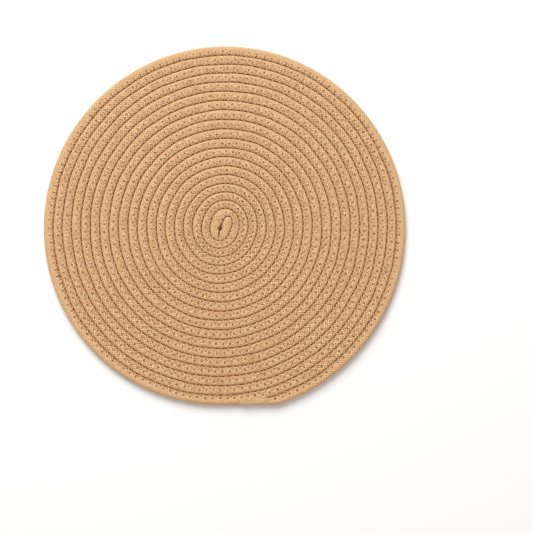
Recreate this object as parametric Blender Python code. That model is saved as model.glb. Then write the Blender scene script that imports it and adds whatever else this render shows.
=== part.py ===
"""Round placemat: one braided cotton rope wound flat in a spiral and sewn turn to turn.

The mat is one solid. Each turn of the rope is a rib on both faces, with a groove where it meets its
neighbour. The rope starts as a short straight piece in the middle, doubles back round its own lower end,
winds outwards clockwise as seen from above, and ends in a tail that tapers into the rim.

Metres, +Z up. The mat lies on Z = 0, and the origin is the middle of its underside.
"""

import math

import bmesh
import bpy
import numpy as np
from mathutils import Vector
from mathutils.geometry import delaunay_2d_cdt

MM = 0.001

# Driving sizes.
DIAMETER = 330 * MM  # of the finished mat, as the mean over its last turn
WIDTHS_TO_RIM = 19.52  # rope widths between the coil's middle and the mean rim
PITCH = DIAMETER / 2 / WIDTHS_TO_RIM  # width of one sewn turn, 8.45 mm
THICKNESS = 0.84 * PITCH  # the sewing presses the rope a little flat, 7.1 mm

# The spiral of the groove between two turns. Places along it are in turns, clockwise from +X.
FIRST_WIDTHS = 0.80  # rope widths inside turn 0 of the groove
HEART_SPREAD = 2.7 * MM  # the first turns are sewn looser
HEART_SPREAD_TURNS = 1.7
OVAL_AT_HEART = 2.4 * MM  # half of what the long radius has over the short one
OVAL_AT_RIM = 0.9 * MM
OVAL_TURNS = 2.3
OVAL_LEAN = math.radians(21.6)  # of the long axis, from +Y towards +X
SPIRAL_START = 0.12
SPIRAL_END = 18.205  # the last groove runs out here, beside the tail
CREST_START = 1.15  # the rope has a groove on both sides from here
CREST_END = 19.16

# The tail: the last turn narrows from its full width to nothing between these two places.
WHOLE_TURNS = 18
TAPER_FROM = 0.194
TAPER_TO = 0.250

# Middle of the mat: up the crease beside the straight first piece, over its cut end, and down its far
# side, to where the spiral takes over.
HEART = (
    # to the right, up
    (-3.9 * MM, -8.9 * MM),
    (-2.6 * MM, -3.6 * MM),
    (-1.0 * MM, 1.4 * MM),
    (0.3 * MM, 5.0 * MM),
    (2.0 * MM, 8.4 * MM),
    (5.2 * MM, 9.3 * MM),
    (8.0 * MM, 7.9 * MM),
    (8.9 * MM, 4.4 * MM),
    (8.4 * MM, -0.3 * MM),
)
CREASE = HEART[1:4]  # the stretch that has the whole straight piece beside it
HEART_STEPS = 3  # points on each stretch of the curve

# Section of a groove. The face is the level of the rope's crests.
GROOVE_DEPTH = 2.0 * MM
GROOVE_FADE = 9 * MM  # length over which the end of a groove comes up to the face
SHOULDER_HALF = 1.5 * MM  # upper face: from the groove's middle to the shoulder of the rope
SHOULDER_DROP = 0.4 * MM
FLAT_HALF = 1.7 * MM  # underside: from the groove's middle to the flat that the mat rests on

RIM_SECTION = (
    # in from the outline, down from the face
    (3.2 * MM, 0.0 * MM),
    (2.1 * MM, 0.3 * MM),
    (0.8 * MM, 1.2 * MM),
    (0.0 * MM, 2.7 * MM),
)
RIM_POINTS = 90

SAGITTA = 0.38 * MM  # how far a chord may lie inside its curve
FEWEST_PER_TURN = 24
WELD = 0.01 * MM
SMOOTH_UNDER = math.radians(50)

ROPE_COLOUR = "D8AE82"
ROPE_ROUGHNESS = 0.9


def clear_scene():
    for obj in list(bpy.data.objects):
        bpy.data.objects.remove(obj)


def linear_colour(code):
    """An sRGB hex colour as linear RGBA."""
    channels = [int(code[i : i + 2], 16) / 255 for i in (0, 2, 4)]
    return [c / 12.92 if c <= 0.04045 else ((c + 0.055) / 1.055) ** 2.4 for c in channels] + [1.0]


def cotton_rope():
    material = bpy.data.materials.new("cotton_rope")
    material.use_nodes = True
    shader = material.node_tree.nodes["Principled BSDF"]
    shader.inputs["Base Color"].default_value = linear_colour(ROPE_COLOUR)
    shader.inputs["Roughness"].default_value = ROPE_ROUGHNESS
    shader.inputs["Metallic"].default_value = 0.0
    return material


def spiral_radius(turns):
    """Distance from the coil's middle to the groove: a steady spiral, looser and more oval at its heart."""
    steady = PITCH * (FIRST_WIDTHS + turns) + HEART_SPREAD * np.exp(-turns / HEART_SPREAD_TURNS)
    oval = OVAL_AT_RIM + (OVAL_AT_HEART - OVAL_AT_RIM) * np.exp(-turns / OVAL_TURNS)
    from_long_axis = 2 * math.pi * turns + math.pi / 2 - OVAL_LEAN
    return steady + oval * np.cos(2 * from_long_axis)


def points_at(radius, turns):
    """Points at these distances from the middle, this far round."""
    angle = -2 * math.pi * turns
    return np.stack([radius * np.cos(angle), radius * np.sin(angle)], axis=1)


def places_along(start, end):
    """Places along the spiral, as far apart as the sagitta allows."""
    places = [start]
    while places[-1] < end:
        step = math.acos(1 - SAGITTA / float(spiral_radius(places[-1]))) / math.pi
        places.append(places[-1] + min(step, 1 / FEWEST_PER_TURN))
    places[-1] = end
    return np.array(places)


def smooth_line(corners):
    """A Catmull-Rom curve through the corners."""
    corners = np.asarray(corners)
    ends = np.concatenate([2 * corners[:1] - corners[1:2], corners, 2 * corners[-1:] - corners[-2:-1]])
    t = (np.arange(HEART_STEPS) / HEART_STEPS)[None, :, None]
    a, b, c, d = (ends[i : i + len(corners) - 1, None, :] for i in range(4))
    curve = b + t * ((c - a) / 2 + t * (a - 2.5 * b + 2 * c - d / 2 + t * ((d - a) / 2 + 1.5 * (b - c))))
    return np.concatenate([curve.reshape(-1, 2), corners[-1:]])


def beside(line, distance):
    """The line moved sideways, to the left of the way it runs."""
    along = np.gradient(line, axis=0)
    along /= np.linalg.norm(along, axis=1, keepdims=True)
    return line + distance * np.stack([-along[:, 1], along[:, 0]], axis=1)


def groove_line():
    """The middle of the groove, from the crease at the heart to the tail."""
    turns = places_along(SPIRAL_START, SPIRAL_END)
    spiral = points_at(spiral_radius(turns), turns)
    heart = smooth_line([*HEART, spiral[0]])
    return np.concatenate([heart[:-1], spiral])


def crest_lines():
    """The middles of the rope: the wound part, and the straight first piece."""
    turns = places_along(CREST_START, CREST_END)
    between_grooves = (spiral_radius(turns) + spiral_radius(turns - 1)) / 2
    return [points_at(between_grooves, turns), beside(smooth_line(CREASE), -PITCH / 2)]


def outline():
    """The rim from above: one turn of the spiral, with the tail drawn in to meet the turn inside it."""
    turns = TAPER_TO + np.arange(RIM_POINTS) / RIM_POINTS
    left = np.clip((1 + TAPER_TO - turns) / (TAPER_TO - TAPER_FROM), 0, 1)
    drawn_in = 1 - left * left
    outer = spiral_radius(turns + WHOLE_TURNS)
    inner = spiral_radius(turns + WHOLE_TURNS - 1)
    return points_at(outer + (inner - outer) * drawn_in, turns)


def rim_line(inwards, down):
    """A line round the rope's rounded edge. The outline runs clockwise, so inwards is to its right."""
    closed = outline()
    wrapped = np.concatenate([closed[-1:], closed, closed[:1]])
    return at_height(beside(wrapped, -inwards)[1:-1], -down)


def at_height(line, height):
    return np.column_stack([line, np.broadcast_to(height, len(line))])


def groove_lines(half, shoulder_drop):
    """A groove's middle, which comes up to its shoulders at both ends, and the shoulders beside it."""
    middle = groove_line()
    lengths = np.linalg.norm(np.diff(middle, axis=0), axis=1)
    along = np.concatenate([[0], np.cumsum(lengths)])
    openness = np.clip(np.minimum(along, along[-1] - along) / GROOVE_FADE, 0, 1)
    deep = at_height(middle, -shoulder_drop - (GROOVE_DEPTH - shoulder_drop) * openness)
    between_ends = openness > openness[1]
    shoulders = [beside(middle, side)[between_ends] for side in (-half, half)]
    return [deep, *(at_height(line, -shoulder_drop) for line in shoulders)]


def face_between(lines, rim):
    """One face of the mat: triangles that have every line among their edges, inside the rim."""
    points = np.concatenate([*lines, rim])
    starts = np.cumsum([0, *(len(line) for line in lines)])
    edges = [(i, i + 1) for start, line in zip(starts, lines) for i in range(start, start + len(line) - 1)]
    first = int(starts[-1])
    edges += [(first + i, first + (i + 1) % len(rim)) for i in range(len(rim))]
    flat = [Vector(point[:2]) for point in points]
    corners, _, faces, origins, _, _ = delaunay_2d_cdt(flat, edges, [], 1, 1e-7)
    if not all(origins):
        raise ValueError("two lines of the mat cross")
    heights = [points[origin[0], 2] for origin in origins]
    return [(corner.x, corner.y, height) for corner, height in zip(corners, heights)], faces


def wall_between(upper, lower):
    """Quads between two lines round the rim."""
    count = len(upper)
    quads = [(i, (i + 1) % count, count + (i + 1) % count, count + i) for i in range(count)]
    return [tuple(point) for point in np.concatenate([upper, lower])], quads


def mat_surfaces():
    """Every surface of the mat. A face is drawn from its own level, so the underside's heights turn over."""
    rings = [rim_line(*row) for row in RIM_SECTION]
    crests = [at_height(line, 0) for line in crest_lines()]
    upper, upper_faces = face_between([*groove_lines(SHOULDER_HALF, SHOULDER_DROP), *crests], rings[0])
    lower, lower_faces = face_between(groove_lines(FLAT_HALF, 0), rings[0])
    yield [(x, y, THICKNESS + z) for x, y, z in upper], upper_faces
    yield [(x, y, -z) for x, y, z in lower], lower_faces
    sides = [ring + (0, 0, THICKNESS) for ring in rings]
    sides += [ring * (1, 1, -1) for ring in reversed(rings)]
    for above, below in zip(sides, sides[1:]):
        yield wall_between(above, below)


def coiled_rope():
    """The mat as one closed mesh, its box centred on the origin and its underside at Z = 0."""
    bm = bmesh.new()
    for points, faces in mat_surfaces():
        corners = [bm.verts.new(point) for point in points]
        for face in faces:
            bm.faces.new([corners[i] for i in face])
    bmesh.ops.remove_doubles(bm, verts=bm.verts, dist=WELD)
    bmesh.ops.recalc_face_normals(bm, faces=bm.faces)
    across = [vertex.co.x for vertex in bm.verts]
    along = [vertex.co.y for vertex in bm.verts]
    middle = Vector((min(across) + max(across), min(along) + max(along), 0)) / 2
    bmesh.ops.translate(bm, verts=bm.verts, vec=-middle)
    mesh = bpy.data.meshes.new("coiled_rope")
    bm.to_mesh(mesh)
    bm.free()
    mesh.shade_smooth()
    mesh.set_sharp_from_angle(angle=SMOOTH_UNDER)
    mesh.materials.append(cotton_rope())
    obj = bpy.data.objects.new("coiled_rope", mesh)
    bpy.context.collection.objects.link(obj)


def main():
    clear_scene()
    coiled_rope()


main()
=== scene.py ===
"""Looks of a round placemat: one braided cotton rope wound flat in a spiral and sewn turn to turn.

The rope is a profile carried along the coil, ruled between the groove on its inner side and the groove on
its outer side. The sewing is a zigzag thread over every groove, above and below, whose needle holes
pucker the rope. Metres, +Z up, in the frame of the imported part.
"""

import math
from collections import namedtuple

import bpy
import numpy as np
from bpy.props import FloatProperty, FloatVectorProperty, IntProperty, PointerProperty
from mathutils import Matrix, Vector


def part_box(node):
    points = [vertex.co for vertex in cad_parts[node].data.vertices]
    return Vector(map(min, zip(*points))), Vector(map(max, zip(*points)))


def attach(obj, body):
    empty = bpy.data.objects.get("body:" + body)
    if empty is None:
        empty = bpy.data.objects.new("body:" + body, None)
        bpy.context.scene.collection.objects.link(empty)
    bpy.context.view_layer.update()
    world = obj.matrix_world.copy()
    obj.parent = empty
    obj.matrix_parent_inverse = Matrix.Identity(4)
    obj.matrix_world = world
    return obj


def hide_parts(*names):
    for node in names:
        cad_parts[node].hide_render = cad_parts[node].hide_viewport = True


bl_info = {
    "name": "Coiled rope placemat",
    "version": (1, 0, 0),
    "blender": (4, 5, 0),
    "location": "3D View > Sidebar > Placemat",
    "description": "Coils, sews and photographs a round placemat of braided cotton rope",
    "category": "Object",
}

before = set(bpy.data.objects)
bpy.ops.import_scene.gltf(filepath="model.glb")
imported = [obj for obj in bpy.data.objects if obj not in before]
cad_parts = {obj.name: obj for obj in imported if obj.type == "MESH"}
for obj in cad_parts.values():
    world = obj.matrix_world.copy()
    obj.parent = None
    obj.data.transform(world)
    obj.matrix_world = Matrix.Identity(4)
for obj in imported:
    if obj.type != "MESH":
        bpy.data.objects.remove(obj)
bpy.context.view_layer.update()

MM = 0.001
SOLID = "coiled_rope"
LOW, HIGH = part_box(SOLID)

# The coil, as the solid has it. Places along a groove are in turns, clockwise from +X.
DIAMETER = 330 * MM
WIDTHS_TO_RIM = 19.52  # widths of a turn in half the diameter
FIRST_WIDTHS = 0.80  # the steady spiral's first distance from the middle, in widths of a turn
HEART_SPREAD = 2.7 * MM  # the heart is looser by this much, and less over the turns below
HEART_SPREAD_TURNS = 1.7
OVAL_AT_HEART = 2.4 * MM  # half the oval's length less its mean radius
OVAL_AT_RIM = 0.9 * MM
OVAL_TURNS = 2.3
OVAL_LEAN = math.radians(21.6)  # of the oval's long axis, clockwise from +Y
SPIRAL_START = 0.12
TAIL_TURNS = 18  # the tail ends this many whole turns along the groove, and this share of one more
TAIL_END = 0.250
STRAIGHT_TURNS = 0.2  # the tail is cut straight over this share of a turn
GROOVE_GOES_ON = 0.1  # the groove line is drawn this share of a turn past the tail
SETTLING = 60 * MM  # the groove's wander comes in and dies away over this length
# Corners of the groove line in the heart: up the crease beside the straight first piece, over its cut end
# and down its far side.
HEART = (
    (-3.9 * MM, -8.9 * MM),
    (-2.6 * MM, -3.6 * MM),
    (-1.0 * MM, 1.4 * MM),
    (0.3 * MM, 5.0 * MM),
    (2.0 * MM, 8.4 * MM),
    (5.2 * MM, 9.3 * MM),
    (8.0 * MM, 7.9 * MM),
    (8.9 * MM, 4.4 * MM),
    (8.4 * MM, -0.3 * MM),
)

# Where the first piece of rope has its two sides, as lengths along the groove line: the crease side,
# and the far side.
FIRST_PIECE = (
    (20.4 * MM, 20.7 * MM),
    (18.9 * MM, 22.3 * MM),
    (16.9 * MM, 24.4 * MM),
    (13.8 * MM, 27.6 * MM),
    (9.7 * MM, 32.4 * MM),
    (4.6 * MM, 38.3 * MM),
    (1.6 * MM, 43.9 * MM),
)
# The same where the rope has doubled back: the crease side again, and the place of the outer groove in turns.
DOUBLED_BACK = (
    (1.2 * MM, 0.350),
    (4.0 * MM, 0.400),
    (8.3 * MM, 0.500),
    (10.6 * MM, 0.600),
    (12.9 * MM, 0.665),
    (15.7 * MM, 0.727),
    (19.8 * MM, 0.800),
    (23.6 * MM, 0.870),
    (28.6 * MM, 0.940),
    (32.4 * MM, 1.000),
    (35.4 * MM, 1.060),
)
UNDER_THE_CREASE = ((0.20, 0.250), (0.55, 0.295))  # share of the way round the crease's lower end, turns
CREASE_OPENING = 1.5 * MM  # half the width of the slit in the crease
CREASE_MIDDLE = 7.2 * MM  # length along the crease at which the slit is widest
CREASE_REACH = 2.8 * MM  # from there to where it closes, on either side
CREASE_CLOSED = 0.06 * MM  # half the gap that is left in the crease, up to the length below
CREASE_LENGTH = 15 * MM
FOOT_RADIUS = 6 * CREASE_CLOSED  # of the rope's inner side where it doubles back

# How finely the lines are sampled.
GROOVE_SAMPLES = 18000
RIM_SAMPLES = 3600
STITCH_SAMPLES = 60000
HEART_STEPS = 24  # from one corner of the heart to the next
RULING_STEPS = 12  # from one of the heart's rulings to the next

# The turns were laid tighter, then looser, most of all on the far side: by a wave over the turns.
EASE = (0.45 * MM, 0.35 * MM)  # all round, and how much more on the far side and less on the near one
EASE_SIDE = 0.75  # where the far side is, in turns
EASE_FROM = 3.0  # where the wave starts, and its length, in turns
EASE_TURNS = 15.0

# Section of the rope: how far across it, from -1 at the inner groove to 1 at the outer, each point lies.
# OVER goes along its top and UNDER back along its underside.
OVER = (-1.0, -0.93, -0.74, -0.5, -0.28, -0.053, 0.36, 0.76, 0.93, 1.0)
UNDER = (1.0, 0.7, -0.053, -0.5, -1.0)
SQUARENESS = 3.4  # exponent of the section's superellipse
CONTACT = 0.45  # share of the half height over which two turns are pressed flat against each other
ROUND_SQUARENESS = 2.0  # the same two where the crease stands open
ROUND_CONTACT = 0.10
STATIONS_PER_STITCH = 4
HEART_STATION = 1.3 * MM  # between two stations in the heart
TAIL_MARGIN = 0.002  # the last station stands this share of a turn before the tail's end
NARROW = 0.6  # the rope is lower where its width is less than this share of the full one
NARROW_POWER = 0.5  # by this power of its width, and in the straight first piece by the other
FIRST_PIECE_POWER = 0.1
PRESS = 0.35 * MM  # the sewn half of the rope lies lower than the free half
PRESS_MIDDLE = 2.9 * MM  # from the inner groove
PRESS_SPREAD = 1.9 * MM

# The seams.
LAST_ROW_IN = 1.4 * MM  # the last seam, with nothing outside it to catch, is sewn this much nearer its groove
LAST_TURN_RAMP = 0.02  # the last turn comes in over this share of a turn
LAST_TURN_LEAD = 1.6  # and begins this many ramps before the tail's end
NO_SEAM = 20 * MM  # a distance that stands for none: no mark reaches so far
SEAM_RAMP = 1 * MM  # over which the marks begin
LAP_ENDS_SEAM = 3  # the marks have gone when the tail has lapped over by one third
SLIT_LIGHT = 0.8  # share of its depth that an open crease doesn't count, for the light that gets in
# Puckers at the holes in the outer turn, at the eyes between them and at the holes in the inner turn: their
# share of a full pucker, and their spread along the groove and across it.
HOLE_PUCKER = (1.0, 1.1 * MM, 1.2 * MM)
EYE_PUCKER = (0.5, 1.3 * MM, 1.0 * MM)
INNER_HOLE_PUCKER = (0.6, 1.3 * MM, 0.9 * MM)

# Hand-guided sewing wanders: the groove to its sides, the row of needle holes to its sides, and the feed
# along the seam. Each wander is a sum of waves: amplitude, wavelength, phase in radians.
GROOVE_WANDER = (
    (0.16 * MM, 67 * MM, 4.1),
    (0.15 * MM, 41 * MM, 1.3),
    (0.09 * MM, 23 * MM, 2.2),
)
ROW_WANDER = (
    (0.30 * MM, 113 * MM, 0.4),
    (0.22 * MM, 31 * MM, 5.0),
    (0.16 * MM, 12.7 * MM, 2.9),
)
FEED_WANDER = (
    (0.7 * MM, 57 * MM, 3.3),
    (0.28 * MM, 17.3 * MM, 1.1),
)
STITCH_GROWTH = 1250 * MM  # length of seam over which the stitch has grown most of the way
RIM_BULGE = 0.1 * MM  # the last turn has no neighbour to press it in
RIM_LEAN = 0.3 * MM  # it bulges most on the left, this many turns round
RIM_LEAN_TURNS = 0.50
RIM_RAMP = 0.1  # the bulge comes in and dies away over this share of a turn
TAIL_LAP = 3.0 * MM  # the tail's end is sewn down over the last groove
TAIL_LAP_TURNS = (0.204, 0.226)  # from none of the lap to all of it, past the whole turns
TAIL_LIFT = 1.2 * MM  # of the side that laps over
TACK_TURNS = (0.210, 0.233)  # where the seam is sewn to and fro over the tail's end
TACK_STITCH = 3.1 * MM
TACK_REACH = (2.4 * MM, 3.2 * MM)  # inwards and outwards of the last groove
TACK_NARROWS = 0.5  # share by which the reach outwards shrinks towards the tail's tip
TACK_RISE = 0.1  # of the thread's middle above the rope, in thread diameters
THREAD_RISE = 0.3  # the same for the seams: the thread is a little sunk into the turns
THREAD_SIDES = 4
BRIDGE = 0.5 * MM  # the thread goes straight over the groove from this far on either side

# A leg of the zigzag runs from one needle hole to the next: out of the hole and over the rope. At each
# share of the way the thread lies this much below its full height.
LEG_SHARES = np.array([0.0, 0.06, 0.28, 0.50, 0.72, 0.94])
LEG_DROPS = np.array([0.9, 0.05, 0.0, 0.0, 0.0, 0.05]) * MM

# The stage. Lamps have a place in metres, a side in metres, a power in watts and a colour.
LAMPS = (
    ("key", (-0.5, 1.5, 1.65), 1.6, 55.0, "FFFFFF"),
    ("fill", (0.3, -1.5, 1.0), 1.5, 3.0, "FFC68C"),
)
SKY_STRENGTH = 0.52
FLOOR_DROP = 0.1 * MM  # the floor lies this much below the mat, so that the two don't meet
SENSOR = 36.0  # mm
LENS = 112.1  # mm
CLIP_END = 50.0
AIM = (40.0 * MM, -36.4 * MM)  # what the camera looks at, from the coil's middle

# Points of a line, the length from its start to each one, and the way out from it there.
Line = namedtuple("Line", "points lengths outward")
# The rope's stations: its inner and outer side, the lengths of both along the groove line, whether it is the
# straight first piece, and, from nought to one, how far the slit beside it is open, how far it is the last
# turn with a free side, and how far it laps over the groove.
Sides = namedtuple("Sides", "inner outer inner_length outer_length is_first opened free lap")
# What every point of the rope has from a seam: the stitch number, the distance and the stitch length.
Seam = namedtuple("Seam", "stitch beside long")


def linear(code):
    """An sRGB hex colour as linear RGBA."""
    channels = [int(code[i : i + 2], 16) / 255 for i in (0, 2, 4)]
    return [c / 12.92 if c <= 0.04045 else ((c + 0.055) / 1.055) ** 2.4 for c in channels] + [1.0]


class RopeSettings(bpy.types.PropertyGroup):
    """The rope and how it is coiled."""

    width: FloatProperty(
        name="Width",
        description="Width of one sewn turn of the rope",
        default=DIAMETER / 2 / WIDTHS_TO_RIM,
        unit="LENGTH",
        precision=5,
    )
    height: FloatProperty(
        name="Height",
        description="Height of the rope where it lies on the table",
        default=HIGH.z - LOW.z,
        unit="LENGTH",
        precision=5,
    )
    strands_around: IntProperty(
        name="Strands around",
        description="Strands that cross a ring round the rope, in each of the two directions of the braid",
        default=10,
    )
    # The photo's rope has a strand about every 2.3 mm. The braid is drawn coarser, so that it shows.
    strand_step: FloatProperty(
        name="Strand step",
        description="Length of rope from one strand of the braid to the next",
        default=3.1 * MM,
        unit="LENGTH",
        precision=5,
    )
    # Painted highlight on the braid's crowns, which are also partly rubbed pale: the colour at the top of the
    # tone.
    lit_crown_colour: FloatVectorProperty(
        name="Colour of the crowns",
        description="Dyed cotton where the strands stand out and are rubbed pale",
        subtype="COLOR",
        size=4,
        default=linear("F4CD9F"),
    )
    # Painted shade between the strands: the colour at the bottom of the tone.
    shaded_hollow_colour: FloatVectorProperty(
        name="Colour of the hollows",
        description="The same cotton between the strands, where the light has bounced and come back warmer",
        subtype="COLOR",
        size=4,
        default=linear("A7723A"),
    )
    # Painted shade: the colour that the cotton is painted deep in the groove between two turns.
    groove_shade_colour: FloatVectorProperty(
        name="Colour in the grooves",
        description="The same cotton deep between two turns",
        subtype="COLOR",
        size=4,
        default=linear("8C3C0C"),
    )
    bounced_colour: FloatVectorProperty(
        name="Colour of bounced light",
        description="The same cotton in the light that has bounced between two turns",
        subtype="COLOR",
        size=4,
        default=linear("C98743"),
    )
    # Painted shade: the colour of the dark spots in the needle holes.
    hole_shade_colour: FloatVectorProperty(
        name="Colour of the needle marks",
        description="The same cotton in the shade of a needle hole",
        subtype="COLOR",
        size=4,
        default=linear("722F06"),
    )


class SewingSettings(bpy.types.PropertyGroup):
    """The zigzag stitch that joins the turns."""

    stitch: FloatProperty(
        name="Stitch length",
        description="Length along the groove from one needle hole to the next in the same row",
        default=6.45 * MM,
        unit="LENGTH",
        precision=5,
    )
    first_stitch: FloatProperty(
        name="First stitch length",
        description="Stitch length at the heart, where the coil is turned quickly under the needle",
        default=3.75 * MM,
        unit="LENGTH",
        precision=5,
    )
    reach_outwards: FloatProperty(
        name="Reach outwards",
        description="From the groove to the row of holes in the outer turn",
        default=4.0 * MM,
        unit="LENGTH",
        precision=5,
    )
    reach_inwards: FloatProperty(
        name="Reach inwards",
        description="From the groove to the row of holes in the inner turn",
        default=0.5 * MM,
        unit="LENGTH",
        precision=5,
    )
    eye: FloatProperty(
        name="Eye",
        description="From the groove to where the braid is pulled open between two needle holes",
        default=2.5 * MM,
        unit="LENGTH",
        precision=5,
    )
    thread: FloatProperty(
        name="Thread",
        description="Diameter of the sewing thread",
        default=0.58 * MM,
        unit="LENGTH",
        precision=5,
    )
    pucker: FloatProperty(
        name="Pucker",
        description="How far a stitch pulls the rope in at its needle hole",
        default=0.45 * MM,
        unit="LENGTH",
        precision=5,
    )
    colour: FloatVectorProperty(
        name="Colour",
        description="Sewing thread, dyed to match the rope",
        subtype="COLOR",
        size=4,
        default=linear("EAC494"),
    )


class StageSettings(bpy.types.PropertyGroup):
    """Table, lights and camera."""

    floor: FloatProperty(
        name="Floor",
        description="Side of the square floor",
        default=8.0,
        unit="LENGTH",
    )
    floor_colour: FloatVectorProperty(
        name="Floor colour",
        description="Matt white board",
        subtype="COLOR",
        size=4,
        default=linear("F4F4F4"),
    )
    elevation: FloatProperty(
        name="Camera elevation",
        description="Angle of the view above the mat",
        default=math.radians(86),
        subtype="ANGLE",
    )
    distance: FloatProperty(
        name="Camera distance",
        description="From the camera to the point of the mat that it looks at",
        default=1.511,
        unit="LENGTH",
    )


# Coil


def spiral_radius(turns, width):
    """Distance from the coil's middle to the groove: a steady spiral, looser and more oval at its heart.
    Both fall off as exponentials of the turns, and the oval is a cosine of twice the angle."""
    steady = width * (FIRST_WIDTHS + turns) + HEART_SPREAD * np.exp(-turns / HEART_SPREAD_TURNS)
    oval = OVAL_AT_RIM + (OVAL_AT_HEART - OVAL_AT_RIM) * np.exp(-turns / OVAL_TURNS)
    from_long_axis = 2 * math.pi * turns + math.pi / 2 - OVAL_LEAN
    return steady + oval * np.cos(2 * from_long_axis)


def points_at(radius, turns):
    """Points at these distances from the coil's middle, this far round clockwise: cosine and sine."""
    angle = -2 * math.pi * turns
    return np.stack([radius * np.cos(angle), radius * np.sin(angle)], axis=-1)


def wander(waves, length):
    """A sum of sine waves of the length."""
    return sum(size * np.sin(2 * math.pi * length / wave + phase) for size, wave, phase in waves)


def rim_radius(turns, width):
    """The outer side of the last turn: the spiral, cut in the tail by the straight line that touches the
    turn inside it at the tail's end. Its distance goes with one over the cosine of the angle to there."""
    end = TAIL_TURNS + TAIL_END
    before_end = np.clip(end + 1 - turns, 0, STRAIGHT_TURNS)
    straight = spiral_radius(end, width) / np.cos(2 * math.pi * before_end)
    in_tail = turns > end + 1 - STRAIGHT_TURNS
    return np.minimum(spiral_radius(turns, width), np.where(in_tail, straight, np.inf))


def rim_bulge(turns):
    """How far the last turn stands out past the spiral: a steady bulge and one cosine round the mat, which
    start behind the tail and end at it."""
    start = TAIL_TURNS + TAIL_END
    comes = np.clip((turns - start) / RIM_RAMP, 0, 1)
    goes = np.clip((start + 1 - turns) / RIM_RAMP, 0, 1)
    return comes * goes * (RIM_BULGE + RIM_LEAN * np.cos(2 * math.pi * (turns - RIM_LEAN_TURNS)))


def rim_places():
    """Places all round the rim, in equal steps over one turn from the tail's end."""
    return TAIL_TURNS + TAIL_END + np.arange(RIM_SAMPLES) / RIM_SAMPLES


def coil_middle(width):
    """Where the coil's middle lies, so that the box of the outline has the middle of the solid's box."""
    turns = rim_places()
    outline = points_at(rim_radius(turns, width), turns)
    box_middle = (outline.min(axis=0) + outline.max(axis=0)) / 2
    return np.array([(LOW.x + HIGH.x) / 2, (LOW.y + HIGH.y) / 2]) - box_middle


def lengths_along(points):
    """The length of a line up to each of its points: the sum of the steps before it."""
    steps = np.linalg.norm(np.diff(points, axis=0), axis=1)
    return np.concatenate([[0], np.cumsum(steps)])


def smooth_line(corners, steps):
    """A Catmull-Rom curve through the corners: between two of them a cubic that leaves each one in the
    direction from the corner before it to the corner after it."""
    corners = np.asarray(corners)
    ends = np.concatenate([2 * corners[:1] - corners[1:2], corners, 2 * corners[-1:] - corners[-2:-1]])
    t = (np.arange(steps) / steps)[None, :, None]
    a, b, c, d = (ends[i : i + len(corners) - 1, None, :] for i in range(4))
    curve = b + t * ((c - a) / 2 + t * (a - 2.5 * b + 2 * c - d / 2 + t * ((d - a) / 2 + 1.5 * (b - c))))
    return np.concatenate([curve.reshape(-1, corners.shape[1]), corners[-1:]])


def ease(turns):
    """How far the groove lies outside the steady spiral: less one sine over the turns, larger at the far
    side of the mat by a cosine of the angle from there."""
    wave = np.sin(2 * math.pi * np.clip((turns - EASE_FROM) / EASE_TURNS, 0, 1))
    return -wave * (EASE[0] + EASE[1] * np.cos(2 * math.pi * (turns - EASE_SIDE)))


def groove_line(width):
    """The groove from the foot of the crease to past the tail: a smooth curve through the heart's corners,
    then the spiral with its ease and its wander. With it come the places of the spiral's points in turns
    and their lengths along the line."""
    turns = np.linspace(SPIRAL_START, TAIL_TURNS + TAIL_END + GROOVE_GOES_ON, GROOVE_SAMPLES)
    radius = spiral_radius(turns, width)
    steps = (radius[1:] + radius[:-1]) * math.pi * np.diff(turns)
    travelled = np.concatenate([[0], np.cumsum(steps)])
    left = travelled[-1] - travelled
    settled = np.clip(travelled / SETTLING, 0, 1) * np.clip(left / SETTLING, 0, 1)
    spiral = points_at(radius + ease(turns) + settled * wander(GROOVE_WANDER, travelled), turns)
    heart = smooth_line([*HEART, spiral[0]], HEART_STEPS)[:-1]
    points = np.concatenate([heart, spiral])
    lengths = lengths_along(points)
    along = np.gradient(points, lengths, axis=0)
    along /= np.linalg.norm(along, axis=1, keepdims=True)
    outward = np.stack([-along[:, 1], along[:, 0]], axis=1)
    return Line(points, lengths, outward), turns, lengths[len(heart) :]


def at_length(line, length, sideways=0.0):
    """Points at these lengths along the line, moved out from it by a distance: both the line and its way
    out are taken straight from one sample to the next."""
    point = np.stack([np.interp(length, line.lengths, line.points[:, k]) for k in (0, 1)], axis=-1)
    out = np.stack([np.interp(length, line.lengths, line.outward[:, k]) for k in (0, 1)], axis=-1)
    return point + out * np.asarray(sideways)[..., None]


def on_last_turn(places):
    """Whether the rope outside a groove is the last turn: a ramp from nought to one, just before the tail's
    end."""
    past_the_end = places + 1 - TAIL_TURNS - TAIL_END
    return np.clip(past_the_end / LAST_TURN_RAMP + LAST_TURN_LEAD, 0, 1)


def stitch_length(length, sewing):
    """The stitch at a length along the groove: its full length less an exponential of the way sewn."""
    return sewing.stitch - (sewing.stitch - sewing.first_stitch) * np.exp(-length / STITCH_GROWTH)


def stitch_number(length, sewing):
    """Stitches sewn up to a length along the groove: the integral of one over the stitch length, with the
    feed's wander."""
    grown = STITCH_GROWTH * np.log(stitch_length(length, sewing) / sewing.first_stitch)
    return (length + grown + wander(FEED_WANDER, length)) / sewing.stitch


def length_of(number, sewing, longest):
    """The length at which a stitch number is reached, read off a table of the number over the length."""
    lengths = np.linspace(0, longest, STITCH_SAMPLES)
    return np.interp(number, stitch_number(lengths, sewing), lengths)


def crease_slit(length):
    """Half the slit in the crease at a length along it: a raised cosine."""
    near = np.clip((length - CREASE_MIDDLE) / CREASE_REACH, -1, 1)
    return CREASE_OPENING * (0.5 + 0.5 * np.cos(math.pi * near))


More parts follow.
